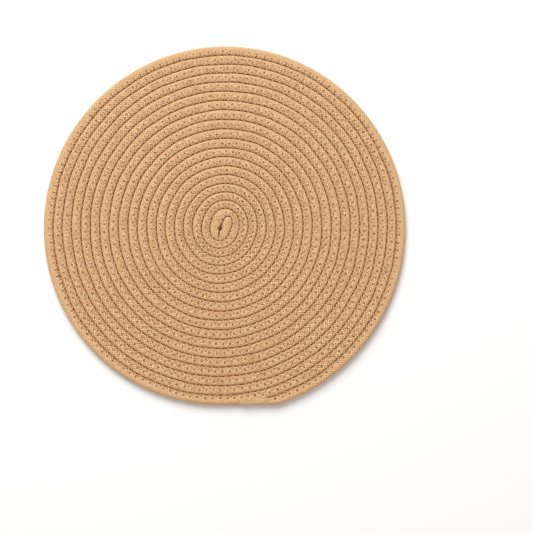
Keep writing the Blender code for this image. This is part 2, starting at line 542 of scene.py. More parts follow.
def heart_sides(line, turns, turn_lengths):
    """The two sides of the rope from its cut end to where the spiral takes over: straight down beside the
    crease, in a half circle round the crease's lower end, and up its other side and over the cut end."""
    first = np.array(FIRST_PIECE)
    foot = np.array(UNDER_THE_CREASE)
    back = np.array(DOUBLED_BACK)
    foot_outer_length = np.interp(foot[:, 1], turns, turn_lengths)
    back_outer_length = np.interp(back[:, 1], turns, turn_lengths)
    down_inner = at_length(line, first[:, 0], -CREASE_CLOSED * (first[:, 0] < CREASE_LENGTH))
    up_inner = at_length(line, back[:, 0], CREASE_CLOSED * (back[:, 0] < CREASE_LENGTH))
    swing = math.pi * foot[:, 0]
    out = line.outward[0]
    down = -(line.points[1] - line.points[0]) / np.linalg.norm(line.points[1] - line.points[0])
    round_the_foot = -np.cos(swing)[:, None] * out + np.sin(swing)[:, None] * down
    turn_inner = at_length(line, 0.0) + FOOT_RADIUS * round_the_foot
    inner = np.concatenate([down_inner, turn_inner, up_inner])
    inner_length = np.concatenate([first[:, 0], 0 * swing, back[:, 0]])
    outer_length = np.concatenate([first[:, 1], foot_outer_length, back_outer_length])
    return inner, at_length(line, outer_length), inner_length, outer_length, len(first) + 1


def rope_sides(rope, sewing):
    """The rope's two sides at every station, with their lengths along the groove line. Past the heart a
    station stands at every quarter stitch of the inner groove, on a ray from the coil's middle."""
    line, turns, turn_lengths = groove_line(rope.width)
    inner, outer, inner_length, outer_length, turning = heart_sides(line, turns, turn_lengths)
    first, last = (stitch_number(turn_lengths[k], sewing) * STATIONS_PER_STITCH for k in (0, -1))
    numbers = np.arange(math.ceil(first), last) / STATIONS_PER_STITCH
    lengths = length_of(numbers, sewing, line.lengths[-1])
    places = np.interp(lengths, turn_lengths, turns)
    places = places[places < TAIL_TURNS + TAIL_END - TAIL_MARGIN]
    lengths = lengths[: len(places)]
    wound_outer_length = np.interp(places + 1, turns, turn_lengths)
    lap_start, lap_end = TAIL_LAP_TURNS
    lap = np.clip((places - TAIL_TURNS - lap_start) / (lap_end - lap_start), 0, 1)
    lap = lap * lap * (3 - 2 * lap)
    wound_inner = at_length(line, lengths, -TAIL_LAP * lap)
    rim = points_at(rim_radius(places + 1, rope.width) + rim_bulge(places + 1), places)
    between_turns = (places + 1 < TAIL_TURNS + TAIL_END)[:, None]
    wound_outer = np.where(between_turns, at_length(line, wound_outer_length), rim)
    # The heart's few rulings are joined to the first wound ones and made as dense by a smooth curve.
    table = np.column_stack([inner, outer, inner_length, outer_length])
    wound = np.column_stack([wound_inner, wound_outer, lengths, wound_outer_length])
    dense = smooth_line(np.concatenate([table, wound[:2]]), RULING_STEPS)[: RULING_STEPS * len(table)]
    going_down = np.arange(len(dense)) < RULING_STEPS * turning
    slit = crease_slit(dense[:, 4]) * np.where(going_down, -1, 1)
    dense[:, :2] = np.where(slit[:, None] != 0, at_length(line, dense[:, 4], slit), dense[:, :2])
    dense = np.column_stack([dense, np.abs(slit) / CREASE_OPENING])
    so_far = lengths_along((dense[:, :2] + dense[:, 2:4]) / 2)
    wanted = np.linspace(0, so_far[-1], int(so_far[-1] / HEART_STATION))
    heart = np.stack([np.interp(wanted, so_far, column) for column in dense.T], axis=1)
    in_heart, past_it = np.zeros(len(heart)), np.zeros(len(lengths))
    return Sides(
        inner=np.concatenate([heart[:, :2], wound_inner]),
        outer=np.concatenate([heart[:, 2:4], wound_outer]),
        inner_length=np.concatenate([heart[:, 4], lengths]),
        outer_length=np.concatenate([heart[:, 5], wound_outer_length]),
        is_first=np.concatenate([wanted < so_far[RULING_STEPS * turning], past_it.astype(bool)]),
        opened=np.concatenate([heart[:, 6], past_it]),
        free=np.concatenate([in_heart, on_last_turn(places)]),
        lap=np.concatenate([in_heart, lap]),
    )


def section_height(across, half_height, opened=0.0):
    """Height of the section over the rope's middle level: a superellipse, down to the flat contact with the
    next turn. It is a rounder one, with hardly any flat, where the crease stands open."""
    squareness = SQUARENESS + (ROUND_SQUARENESS - SQUARENESS) * opened
    contact = CONTACT + (ROUND_CONTACT - CONTACT) * opened
    return half_height * np.maximum((1 - np.abs(across) ** squareness) ** (1 / squareness), contact)


def bell(distance, spread):
    """One at no distance, falling off as the exponential of minus the squared share of the spread."""
    return np.exp(-((distance / spread) ** 2))


def pressed(from_inner):
    """How much lower the sewing leaves the rope at a distance from its inner groove: a bell."""
    return PRESS * bell(from_inner - PRESS_MIDDLE, PRESS_SPREAD)


def lowering(wide, is_first, rope):
    """The tail gets lower as it gets narrower, by the square root of its width. The cut end, held up by the
    turn round it, does so by the tenth root."""
    power = np.where(is_first, FIRST_PIECE_POWER, NARROW_POWER)
    return np.minimum(1, (wide / (NARROW * rope.width)) ** power)


def from_whole(number):
    """Distance to the nearest whole number."""
    return number - np.round(number)


def seam_measures(sides, from_inner, from_outer, sewing):
    """What every point has from the seam in its inner groove and from the one in its outer groove. The
    distance is that from the groove, less the row's wander, and far away where there is no seam: at the
    slit, on the last turn's free side and under the tail's lap."""
    # The first piece lies on the inner side of the crease, where the seam has its short reach.
    first = sides.is_first[:, None]
    inner_length, outer_length = sides.inner_length[:, None], sides.outer_length[:, None]
    row = (wander(ROW_WANDER, sides.inner_length) - LAST_ROW_IN * sides.free)[:, None]
    unsewn = np.clip((CREASE_MIDDLE + CREASE_REACH - inner_length) / SEAM_RAMP, 0, 1)
    no_inner_seam = np.minimum(1, unsewn + LAP_ENDS_SEAM * sides.lap[:, None])
    from_row = from_inner - row + first * (sewing.reach_outwards - sewing.reach_inwards)
    inner = Seam(
        stitch=stitch_number(inner_length, sewing) + 0.5 * first,
        beside=from_row + NO_SEAM * no_inner_seam,
        long=stitch_length(inner_length, sewing),
    )
    outer = Seam(
        stitch=stitch_number(outer_length, sewing) + 0.5,
        beside=from_outer + NO_SEAM * sides.free[:, None],
        long=stitch_length(outer_length, sewing),
    )
    return inner, outer


def puckers(inner, outer, sewing):
    """How far the stitches pull the rope in: at each hole and eye, a bell along the groove times a bell
    across it."""
    pulled = 0.0
    for number, seam, row, (strength, along_spread, across_spread) in (
        (inner.stitch, inner, sewing.reach_outwards, HOLE_PUCKER),
        (inner.stitch + 0.5, inner, sewing.eye, EYE_PUCKER),
        (outer.stitch, outer, sewing.reach_inwards, INNER_HOLE_PUCKER),
    ):
        along = bell(from_whole(number) * seam.long, along_spread)
        pulled = pulled + strength * along * bell(seam.beside - row, across_spread)
    return sewing.pucker * pulled


# Meshes


def tube_mesh(name, rings):
    """A mesh from rings of points, shape (rings, around, 3), joined by quads and closed at both ends."""
    count, around, _ = rings.shape
    index = np.arange(count * around).reshape(count, around)
    after = np.roll(index, -1, axis=1)
    quads = np.stack([index[:-1], index[1:], after[1:], after[:-1]], axis=-1).reshape(-1, 4)
    corners = np.concatenate([quads.ravel(), index[0], index[-1][::-1]]).astype(np.int32)
    sizes = np.concatenate([np.full(len(quads), 4), [around, around]]).astype(np.int32)
    starts = np.concatenate([[0], np.cumsum(sizes)[:-1]]).astype(np.int32)
    mesh = bpy.data.meshes.new(name)
    mesh.vertices.add(count * around)
    mesh.vertices.foreach_set("co", rings.astype(np.float32).ravel())
    mesh.loops.add(len(corners))
    mesh.loops.foreach_set("vertex_index", corners)
    mesh.polygons.add(len(sizes))
    mesh.polygons.foreach_set("loop_start", starts)
    mesh.polygons.foreach_set("loop_total", sizes)
    mesh.update(calc_edges=True)
    mesh.validate()
    mesh.shade_smooth()
    return mesh


def tube_map(mesh, name, count, around, along_near, along_far, round_near, round_far):
    """A UV map of a tube mesh. Each quad's corners get its near and far value along and around. The end
    faces, which don't show, get one point each, a corner of the first quad and one of the last."""
    shape = (count - 1, around)
    near, far = (np.broadcast_to(a, shape) for a in (along_near, along_far))
    low, high = (np.broadcast_to(a, shape) for a in (round_near, round_far))
    u = np.stack([near, far, far, near], axis=-1)
    v = np.stack([low, low, high, high], axis=-1)
    quads = np.stack([u, v], axis=-1).reshape(-1, 2)
    ends = np.concatenate([np.tile(quads[0], (around, 1)), np.tile(quads[-1], (around, 1))])
    layer = mesh.uv_layers.new(name=name)
    layer.uv.foreach_set("vector", np.concatenate([quads, ends]).astype(np.float32).ravel())


def strips_map(mesh, count, around, girth_share, rows, margin=0.06):
    """The map that the finish is baked through: the tube cut into equal lengths, laid in rows. A row's share
    of the height is one over their number, and the margin is left free in it."""
    per_row = math.ceil((count - 1) / rows)
    station = np.arange(count - 1)[:, None]
    row, place = station // per_row, station % per_row
    edges = (row + margin / 2 + (1 - margin) * girth_share[None, :]) / rows
    near, far = place / per_row, (place + 1) / per_row
    tube_map(mesh, "OFBake", count, around, near, far, edges[:, :-1], edges[:, 1:])


def add_attribute(mesh, name, kind, field, values):
    """A measure for every point of the mesh, that its material reads."""
    attribute = mesh.attributes.new(name, kind, "POINT")
    attribute.data.foreach_set(field, values.astype(np.float32).ravel())


def add_piece(context, mesh, material):
    """An object of the mesh with its one material, that rides on the part's only body."""
    mesh.materials.append(material)
    piece = bpy.data.objects.new(mesh.name, mesh)
    context.scene.collection.objects.link(piece)
    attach(piece, "root")
    return piece


# Materials

MATHS = "ShaderNodeMath"
RANGE = "ShaderNodeMapRange"
MIX = "ShaderNodeMix"
NOISE = "ShaderNodeTexNoise"
SPLIT = "ShaderNodeSeparateXYZ"
BUMP = "ShaderNodeBump"
SHADER = "ShaderNodeBsdfPrincipled"

# What the rope's colours and relief are made from, as sockets: the braid's and the yarns' height, the inner
# and outer seam's stitch number, distance and stitch length, a noise that varies from hole to hole, and the
# strength of the sewn half, of the needle marks with their painted shade, of the painted highlight on the
# puffs round them and of the thread's furrows, which also get painted shade.
Pattern = namedtuple("Pattern", "braid yarn inner outer uneven sewn marks puffs furrow")

# Sizes of the noises. Flecks and tufts of fluff are drawn coarser than real cotton's, so that they show.
PATCHES = 14 * MM  # of dye
UNEVENNESS = 3.6 * MM  # from one needle hole to the next
FLECKS = 1.5 * MM
TUFTS = 0.7 * MM
BOARD_GRAIN = 3 * MM
BRAID_RELIEF = 0.40 * MM  # from a strand's crown to its edge
BOARD_RELIEF = 0.05 * MM


def add_node(tree, kind, inputs=(), **settings):
    """Adds a node with its settings. Inputs are values or sockets to link, by number or by name."""
    node = tree.nodes.new(kind)
    for name, value in settings.items():
        setattr(node, name, value)
    for key, value in inputs.items() if isinstance(inputs, dict) else enumerate(inputs):
        if isinstance(value, bpy.types.NodeSocket):
            tree.links.new(value, node.inputs[key])
        else:
            node.inputs[key].default_value = value
    return node


def empty_material(name):
    """A material with an empty node tree, and the tree."""
    material = bpy.data.materials.new(name)
    material.use_nodes = True
    material.node_tree.nodes.clear()
    return material, material.node_tree


def braid_pattern(tree, rope):
    """The height of the braid and of its yarns. Two families of strands cross: the place along the rope plus
    or less the place round it numbers them. The height is that of the strand on top, less by up to 45 %
    where the one under it is low."""
    lie = add_node(tree, "ShaderNodeUVMap", uv_map="rope")
    lie = add_node(tree, SPLIT, [lie.outputs[0]])
    along = add_node(tree, MATHS, [lie.outputs[0], rope.strand_step], operation="DIVIDE").outputs[0]
    round_it = add_node(tree, MATHS, [lie.outputs[1], rope.strands_around], operation="MULTIPLY").outputs[0]
    ridges, yarns, numbers = [], [], []
    for direction in ("ADD", "SUBTRACT"):
        strand = add_node(tree, MATHS, [along, round_it], operation=direction).outputs[0]
        # A strand is a half round, one less the square of the distance from its middle line.
        share = add_node(tree, MATHS, [strand], operation="FRACT").outputs[0]
        centred = add_node(tree, MATHS, [share, 2.0, -1.0], operation="MULTIPLY_ADD").outputs[0]
        square = add_node(tree, MATHS, [centred, centred], operation="MULTIPLY").outputs[0]
        ridges.append(add_node(tree, MATHS, [1.0, square], operation="SUBTRACT").outputs[0])
        # Its three yarns are the size of a sine with three half waves across it.
        yarn = add_node(tree, MATHS, [share, 3 * math.pi], operation="MULTIPLY").outputs[0]
        yarn = add_node(tree, MATHS, [yarn], operation="SINE").outputs[0]
        yarns.append(add_node(tree, MATHS, [yarn], operation="ABSOLUTE").outputs[0])
        numbers.append(add_node(tree, MATHS, [strand], operation="FLOOR").outputs[0])
    # Over one, under one: the sum of the two strand numbers, even or odd, says which lies on top.
    both = add_node(tree, MATHS, numbers, operation="ADD").outputs[0]
    odd = add_node(tree, MATHS, [both, 2.0], operation="FLOORED_MODULO").outputs[0]
    top = add_node(tree, MIX, {0: odd, 2: ridges[0], 3: ridges[1]}).outputs[0]
    low = add_node(tree, MIX, {0: odd, 2: ridges[1], 3: ridges[0]}).outputs[0]
    yarn = add_node(tree, MIX, {0: odd, 2: yarns[0], 3: yarns[1]}).outputs[0]
    crown = add_node(tree, MATHS, [low, 0.45, 0.55], operation="MULTIPLY_ADD").outputs[0]
    return add_node(tree, MATHS, [top, crown], operation="MULTIPLY").outputs[0], yarn


def seam_sockets(tree, name):
    """A seam's stitch number, distance and stitch length, the last two in millimetres."""
    seam = add_node(tree, "ShaderNodeAttribute", attribute_name=name)
    return add_node(tree, SPLIT, [seam.outputs["Vector"]]).outputs


def off_the_middle(tree, number, phase):
    """How far a seam's stitch number, with the phase added, is from the middle between two whole ones."""
    number = add_node(tree, MATHS, [number, phase], operation="ADD").outputs[0]
    number = add_node(tree, MATHS, [number], operation="FRACT").outputs[0]
    return add_node(tree, MATHS, [number, 0.5], operation="SUBTRACT").outputs[0]


def needle_marks(tree, inner, outer, uneven, sewing):
    """Painted shade at the sewing's needle holes, which the bump also dents, and painted highlight on the
    puffs round them: soft spots beside each groove, longer across the rope than along it. How far away a spot
    is, is the square of the way along over its half width, plus the square of the way across over its half
    length. Real needle holes are about a millimetre wide, and the spots are drawn coarser, so that they show."""
    # No two holes lie quite alike: each is shifted across the rope, mostly by less than half a millimetre.
    shift = add_node(tree, MATHS, [uneven, 2.4, -1.2], operation="MULTIPLY_ADD").outputs[0]
    marks, puffs = 0.0, 0.0
    # Each row has its seam, its phase, which is a half where its spots lie at the whole stitch numbers, its
    # distance from the groove, its spots' half length and half width, in millimetres, and its strength. In
    # the first row the spots lie 0.15 mm outside their holes.
    for seam, phase, row, long, wide, strength in (
        (inner, 0.5, sewing.reach_outwards / MM + 0.15, 1.35, 0.95, 1.0),
        (inner, 0.0, sewing.eye / MM, 1.2, 0.70, 0.65),
        (outer, 0.5, sewing.reach_inwards / MM, 0.50, 0.60, 0.5),
    ):
        stitch = off_the_middle(tree, seam[0], phase)
        stitch = add_node(tree, MATHS, [stitch, seam[2]], operation="MULTIPLY").outputs[0]
        stitch = add_node(tree, MATHS, [stitch, 1 / wide], operation="MULTIPLY").outputs[0]
        stitch = add_node(tree, MATHS, [stitch, stitch], operation="MULTIPLY").outputs[0]
        beside = add_node(tree, MATHS, [seam[1], -row], operation="ADD").outputs[0]
        beside = add_node(tree, MATHS, [beside, shift], operation="ADD").outputs[0]
        beside = add_node(tree, MATHS, [beside, 1 / long], operation="MULTIPLY").outputs[0]
        away = add_node(tree, MATHS, [beside, beside, stitch], operation="MULTIPLY_ADD").outputs[0]
        fades = {"Value": away, "To Min": strength, "To Max": 0.0}
        # A spot of painted shade at each hole, and a ring of painted highlight round it.
        spot = add_node(tree, RANGE, {**fades, "From Min": 0.45, "From Max": 1.2}).outputs[0]
        ring = add_node(tree, RANGE, {**fades, "From Min": 1.2, "From Max": 4.0}).outputs[0]
        marks = add_node(tree, MATHS, [marks, spot], operation="MAXIMUM").outputs[0]
        puffs = add_node(tree, MATHS, [puffs, ring], operation="MAXIMUM").outputs[0]
    # They differ in strength, and the first round of the heart was sewn slackly and has faint ones.
    differ = {"Value": uneven, "From Min": 0.36, "From Max": 0.60, "To Min": 0.40}
    taut = {"Value": inner[0], "From Min": 6.0, "From Max": 26.0, "To Min": 0.3}
    for change in (differ, taut):
        change = add_node(tree, RANGE, change).outputs[0]
        marks = add_node(tree, MATHS, [marks, change], operation="MULTIPLY").outputs[0]
    return marks, puffs


def thread_furrow(tree, inner, sewn, sewing):
    """The slanted furrow that each leg of the thread sinks into the cotton. The leg runs from the needle hole
    outside the groove, at a whole stitch, to the one inside it, half a stitch on. The furrow fades with the
    distance from the leg, as a share of a stitch. It dents the bump, and the tone paints shade into it."""
    phase = off_the_middle(tree, inner[0], 0.5)
    phase = add_node(tree, MATHS, [phase], operation="ABSOLUTE").outputs[0]
    slope = 0.5 / ((sewing.reach_outwards + sewing.reach_inwards) / MM)
    start = -slope * sewing.reach_outwards / MM
    leg = add_node(tree, MATHS, [inner[1], slope, start], operation="MULTIPLY_ADD").outputs[0]
    leg = add_node(tree, MATHS, [phase, leg], operation="ADD").outputs[0]
    leg = add_node(tree, MATHS, [leg], operation="ABSOLUTE").outputs[0]
    fades = {"Value": leg, "From Min": 0.04, "From Max": 0.13, "To Min": 1.0, "To Max": 0.0}
    furrow = add_node(tree, RANGE, fades).outputs[0]
    return add_node(tree, MATHS, [furrow, sewn], operation="MULTIPLY").outputs[0]


def cotton_tone(tree, pattern, place):
    """How pale the dyed cotton is, from nought to one: the relief of braid, yarns and flecks, times how
    tousled it is, plus a share of each thing that makes it paler or darker. Through the braid's relief it
    paints shade between the strands and a highlight on their crowns."""
    patches = add_node(tree, NOISE, {"Vector": place, "Scale": 1 / PATCHES, "Detail": 2.0}).outputs[0]
    blots = add_node(tree, NOISE, {"Vector": place, "Scale": 1 / FLECKS, "Detail": 0.0}).outputs[0]
    flecks = add_node(tree, RANGE, {"Value": blots, "From Min": 0.3, "From Max": 0.7}).outputs[0]
    # Painted shade between the strands and a painted highlight on their crowns: the tone follows the braid's
    # height.
    relief = add_node(tree, MATHS, [pattern.braid, 0.56, -0.56], operation="MULTIPLY_ADD").outputs[0]
    relief = add_node(tree, MATHS, [pattern.yarn, 0.08, relief], operation="MULTIPLY_ADD").outputs[0]
    relief = add_node(tree, MATHS, [flecks, 0.38, relief], operation="MULTIPLY_ADD").outputs[0]
    # The sewn half of each turn is tousled and the other half is calm.
    tousled = add_node(tree, MATHS, [pattern.sewn, 0.45, 0.92], operation="MULTIPLY_ADD").outputs[0]
    # The last turn, known by having no seam outside it, has no neighbour to rub on: it is smoother, and it is
    # painted paler, a highlight on the lit rim.
    no_seam = {"From Min": 0.5 * NO_SEAM / MM, "From Max": NO_SEAM / MM, "To Min": 1.0, "To Max": 0.5}
    rubbed = add_node(tree, RANGE, {"Value": pattern.outer[1], **no_seam}).outputs[0]
    relief = add_node(tree, MATHS, [relief, rubbed], operation="MULTIPLY").outputs[0]
    # A painted highlight: the tone is raised on the last turn.
    calm = add_node(tree, MATHS, [rubbed, -0.10, 1.07], operation="MULTIPLY_ADD").outputs[0]
    tone = add_node(tree, MATHS, [relief, tousled, calm], operation="MULTIPLY_ADD").outputs[0]
    # The puffs round the needle holes get a painted highlight, and the thread's furrows painted shade.
    shares = ((patches, 0.07), (pattern.sewn, 0.02), (pattern.puffs, 0.12), (pattern.furrow, -0.30))
    for layer, weight in shares:
        tone = add_node(tree, MATHS, [layer, weight, tone], operation="MULTIPLY_ADD").outputs[0]
    # The shoulder that the next turn pushes up, a millimetre from the outer groove, gets a painted highlight.
    shoulder_highlight = add_node(tree, MATHS, [pattern.outer[1], -1.0], operation="ADD").outputs[0]
    shoulder_highlight = add_node(tree, MATHS, [shoulder_highlight], operation="ABSOLUTE").outputs[0]
    fades = {"Value": shoulder_highlight, "From Min": 0.2, "From Max": 0.9, "To Min": 0.24, "To Max": 0.0}
    shoulder_highlight = add_node(tree, RANGE, fades).outputs[0]
    shoulder_highlight = add_node(tree, MATHS, [shoulder_highlight, pattern.braid], operation="MULTIPLY").outputs[0]
    tone = add_node(tree, MATHS, [tone, shoulder_highlight], operation="ADD").outputs[0]
    return add_node(tree, RANGE, {"Value": tone, "From Min": 0.48, "From Max": 1.42}).outputs[0]


def cotton_colour(tree, pattern, tone, rope):
    """The dyed cotton from its shaded hollows' to its lit crowns' colour by its tone, then towards the warm
    colour of light that has bounced between the turns, then to the painted shade down in the groove and last
    to the painted shade in the needle holes."""
    depth = add_node(tree, "ShaderNodeAttribute", attribute_name="depth").outputs["Fac"]
    # The strands' crowns stand out of the shade that lies between them and down in the groove.
    shade = add_node(tree, MATHS, [pattern.braid, -1.1, depth], operation="MULTIPLY_ADD").outputs[0]
    warm = {"Value": shade, "From Min": -0.45, "From Max": 0.5, "To Max": 0.6}
    warm = add_node(tree, RANGE, warm).outputs[0]
    # Painted shade down in the groove, by its depth and less on the strands' crowns, stronger or weaker at
    # random along the groove.
    deep = add_node(tree, RANGE, {"Value": shade, "From Min": 0.08, "From Max": 0.85}).outputs[0]
    groove_shade_varies = {"Value": pattern.uneven, "From Min": 0.32, "From Max": 0.58, "To Min": 0.5}
    groove_shade_varies = add_node(tree, RANGE, groove_shade_varies).outputs[0]
    deep = add_node(tree, MATHS, [deep, groove_shade_varies], operation="MULTIPLY").outputs[0]
    colour = tuple(rope.shaded_hollow_colour)
    for share, towards in (
        (tone, rope.lit_crown_colour),
        (warm, rope.bounced_colour),
        (deep, rope.groove_shade_colour),
        (pattern.marks, rope.hole_shade_colour),
    ):
        colour = add_node(tree, MIX, {0: share, 6: colour, 7: tuple(towards)}, data_type="RGBA").outputs[2]
    return colour


def cotton_relief(tree, pattern, place):
    """The bump. Its height is the braid's, plus shares of the tufts and yarns, which stand up, and of the
    furrows and needle marks, which go in."""
    tufts = add_node(tree, NOISE, {"Vector": place, "Scale": 1 / TUFTS, "Detail": 2.0}).outputs[0]
    height = pattern.braid
    shares = ((tufts, 0.25), (pattern.yarn, 0.25), (pattern.furrow, -0.5), (pattern.marks, -0.8))
    for layer, weight in shares:
        height = add_node(tree, MATHS, [layer, weight, height], operation="MULTIPLY_ADD").outputs[0]
    relief = {"Strength": 1.0, "Distance": BRAID_RELIEF, "Height": height}
    return add_node(tree, BUMP, relief).outputs[0]


def braided_cotton(rope, sewing):
    """Cotton rope, braided from soft spun strands and piece-dyed. The eye sees a matt, slightly fuzzy
    surface: a lattice of small plump strands, darker between them, with pin-pricks where the needle went in
    and a warm dark line down in each groove. The darkness between the strands, in the pin-pricks and down the
    grooves is painted shade in the colour, and the paler crowns, shoulders, puffs and last turn are painted
    highlight."""
    material, tree = empty_material("braided_cotton")
    braid, yarn = braid_pattern(tree, rope)
    inner, outer = seam_sockets(tree, "inner_seam"), seam_sockets(tree, "outer_seam")
    place = add_node(tree, "ShaderNodeTexCoord").outputs["Object"]
    uneven = add_node(tree, NOISE, {"Vector": place, "Scale": 1 / UNEVENNESS, "Detail": 1.0}).outputs[0]
    # The sewn half ends between four and six millimetres from the groove.
    half = {"Value": inner[1], "From Min": 4.0, "From Max": 6.0, "To Min": 1.0, "To Max": 0.0}
    sewn = add_node(tree, RANGE, half).outputs[0]
    marks, puffs = needle_marks(tree, inner, outer, uneven, sewing)
    furrow = thread_furrow(tree, inner, sewn, sewing)
    pattern = Pattern(braid, yarn, inner, outer, uneven, sewn, marks, puffs, furrow)
    look = {
        "Base Color": cotton_colour(tree, pattern, cotton_tone(tree, pattern, place), rope),
        "Roughness": 0.92,
        "Specular IOR Level": 0.15,
        "Sheen Weight": 0.04,
        "Sheen Roughness": 0.5,
        "Normal": cotton_relief(tree, pattern, place),
    }
    shader = add_node(tree, SHADER, look)
    add_node(tree, "ShaderNodeOutputMaterial", [shader.outputs[0]])
    return material


def sewing_thread(sewing):
    """Spun polyester sewing thread, two plies twisted: a fine rope of its own with a slight silky shine."""
    material, tree = empty_material("sewing_thread")
    lie = add_node(tree, "ShaderNodeUVMap", uv_map="thread").outputs[0]
    twist = {"Vector": lie, "Scale": 1.0, "Distortion": 0.5}
    plies = add_node(tree, "ShaderNodeTexWave", twist, bands_direction="DIAGONAL").outputs["Fac"]
    tone = add_node(tree, MATHS, [plies, 0.25, 0.85], operation="MULTIPLY_ADD").outputs[0]
    colour = {0: tuple(sewing.colour)[:3], "Scale": tone}
    dyed = add_node(tree, "ShaderNodeVectorMath", colour, operation="SCALE").outputs[0]
    shader = add_node(tree, SHADER, {"Base Color": dyed, "Roughness": 0.6, "Specular IOR Level": 0.4})
    add_node(tree, "ShaderNodeOutputMaterial", [shader.outputs[0]])
    return material


def matt_board(colour):
    """Matt white studio board: an even surface that bounces the light back without a shine."""
    material, tree = empty_material("matt_board")
    place = add_node(tree, "ShaderNodeTexCoord").outputs["Object"]
    grain = add_node(tree, NOISE, {"Vector": place, "Scale": 1 / BOARD_GRAIN, "Detail": 2.0}).outputs[0]
    bump = add_node(tree, BUMP, {"Strength": 0.1, "Distance": BOARD_RELIEF, "Height": grain}).outputs[0]
    look = {"Base Color": tuple(colour), "Roughness": 0.85, "Specular IOR Level": 0.2, "Normal": bump}
    shader = add_node(tree, SHADER, look)
    add_node(tree, "ShaderNodeOutputMaterial", [shader.outputs[0]])
    return material


# Operators


class PLACEMAT_OT_coil_rope(bpy.types.Operator):
    """Carry the rope's section along the coil, and pucker it at the needle holes"""

    bl_idname = "placemat.coil_rope"
    bl_label = "Coil the rope"

    def execute(self, context):
        """At every station a ring is stretched between the rope's two sides. Its points lie at fixed shares
        of the way across, as high over the middle level as the section, less the puckers and the press."""
        rope, sewing = context.scene.placemat_rope, context.scene.placemat_sewing
        sides = rope_sides(rope, sewing)
        half_height = rope.height / 2
        across = np.array([*OVER, *UNDER])
        upward = np.where(np.arange(len(across)) < len(OVER), 1, -1)
        wide = np.linalg.norm(sides.outer - sides.inner, axis=1)
        lowered = lowering(wide, sides.is_first, rope)[:, None]
        share = (1 + across[None, :]) / 2
        from_inner = share * wide[:, None]
        inner, outer = seam_measures(sides, from_inner, (1 - share) * wide[:, None], sewing)
        opened = sides.opened[:, None] * (across < 0)
        section = section_height(across[None, :], half_height, opened) * lowered
        height = section - puckers(inner, outer, sewing) - pressed(from_inner) * lowered
        flat = sides.inner[:, None, :] * (1 - share[..., None]) + sides.outer[:, None, :] * share[..., None]
        rings = np.empty((*from_inner.shape, 3))
        rings[..., :2] = flat + coil_middle(rope.width)
        lap_lift = TAIL_LIFT * sides.lap[:, None] * (1 - share)
        rings[..., 2] = half_height * lowered + upward * height + lap_lift
        mesh = tube_mesh("rope_coil", rings)

        girth = np.array([across * rope.width / 2, upward * section_height(across, half_height)]).T
        girth = lengths_along(np.concatenate([girth, girth[:1]]))
        self.map_rope(mesh, rings, girth / girth[-1])
        for name, seam in (("inner_seam", inner), ("outer_seam", outer)):
            measures = np.broadcast_arrays(seam.stitch, seam.beside / MM, seam.long / MM)
            add_attribute(mesh, name, "FLOAT_VECTOR", "vector", np.stack(measures, axis=-1))
        # How deep a point lies in the groove, for the painted shade there. The last turn's free side and an
        # open crease get light.
        sheltered = 1 - (across > 0) * sides.free[:, None]
        depth = (half_height * lowered - section) / MM * sheltered * (1 - SLIT_LIGHT * opened)
        add_attribute(mesh, "depth", "FLOAT", "value", depth)

        piece = add_piece(context, mesh, braided_cotton(rope, sewing))
        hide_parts(SOLID)
        return {"FINISHED"}

    @staticmethod
    def map_rope(mesh, rings, girth_share):
        """The braid's map, which is the length along the rope's middle by the share of the way round it, and
        the bake's map."""
        count, around, _ = rings.shape
        so_far = lengths_along(rings.mean(axis=1))[:, None]
        tube_map(mesh, "rope", count, around, so_far[:-1], so_far[1:], girth_share[:-1], girth_share[1:])
        strips_map(mesh, count, around, girth_share, rows=20)


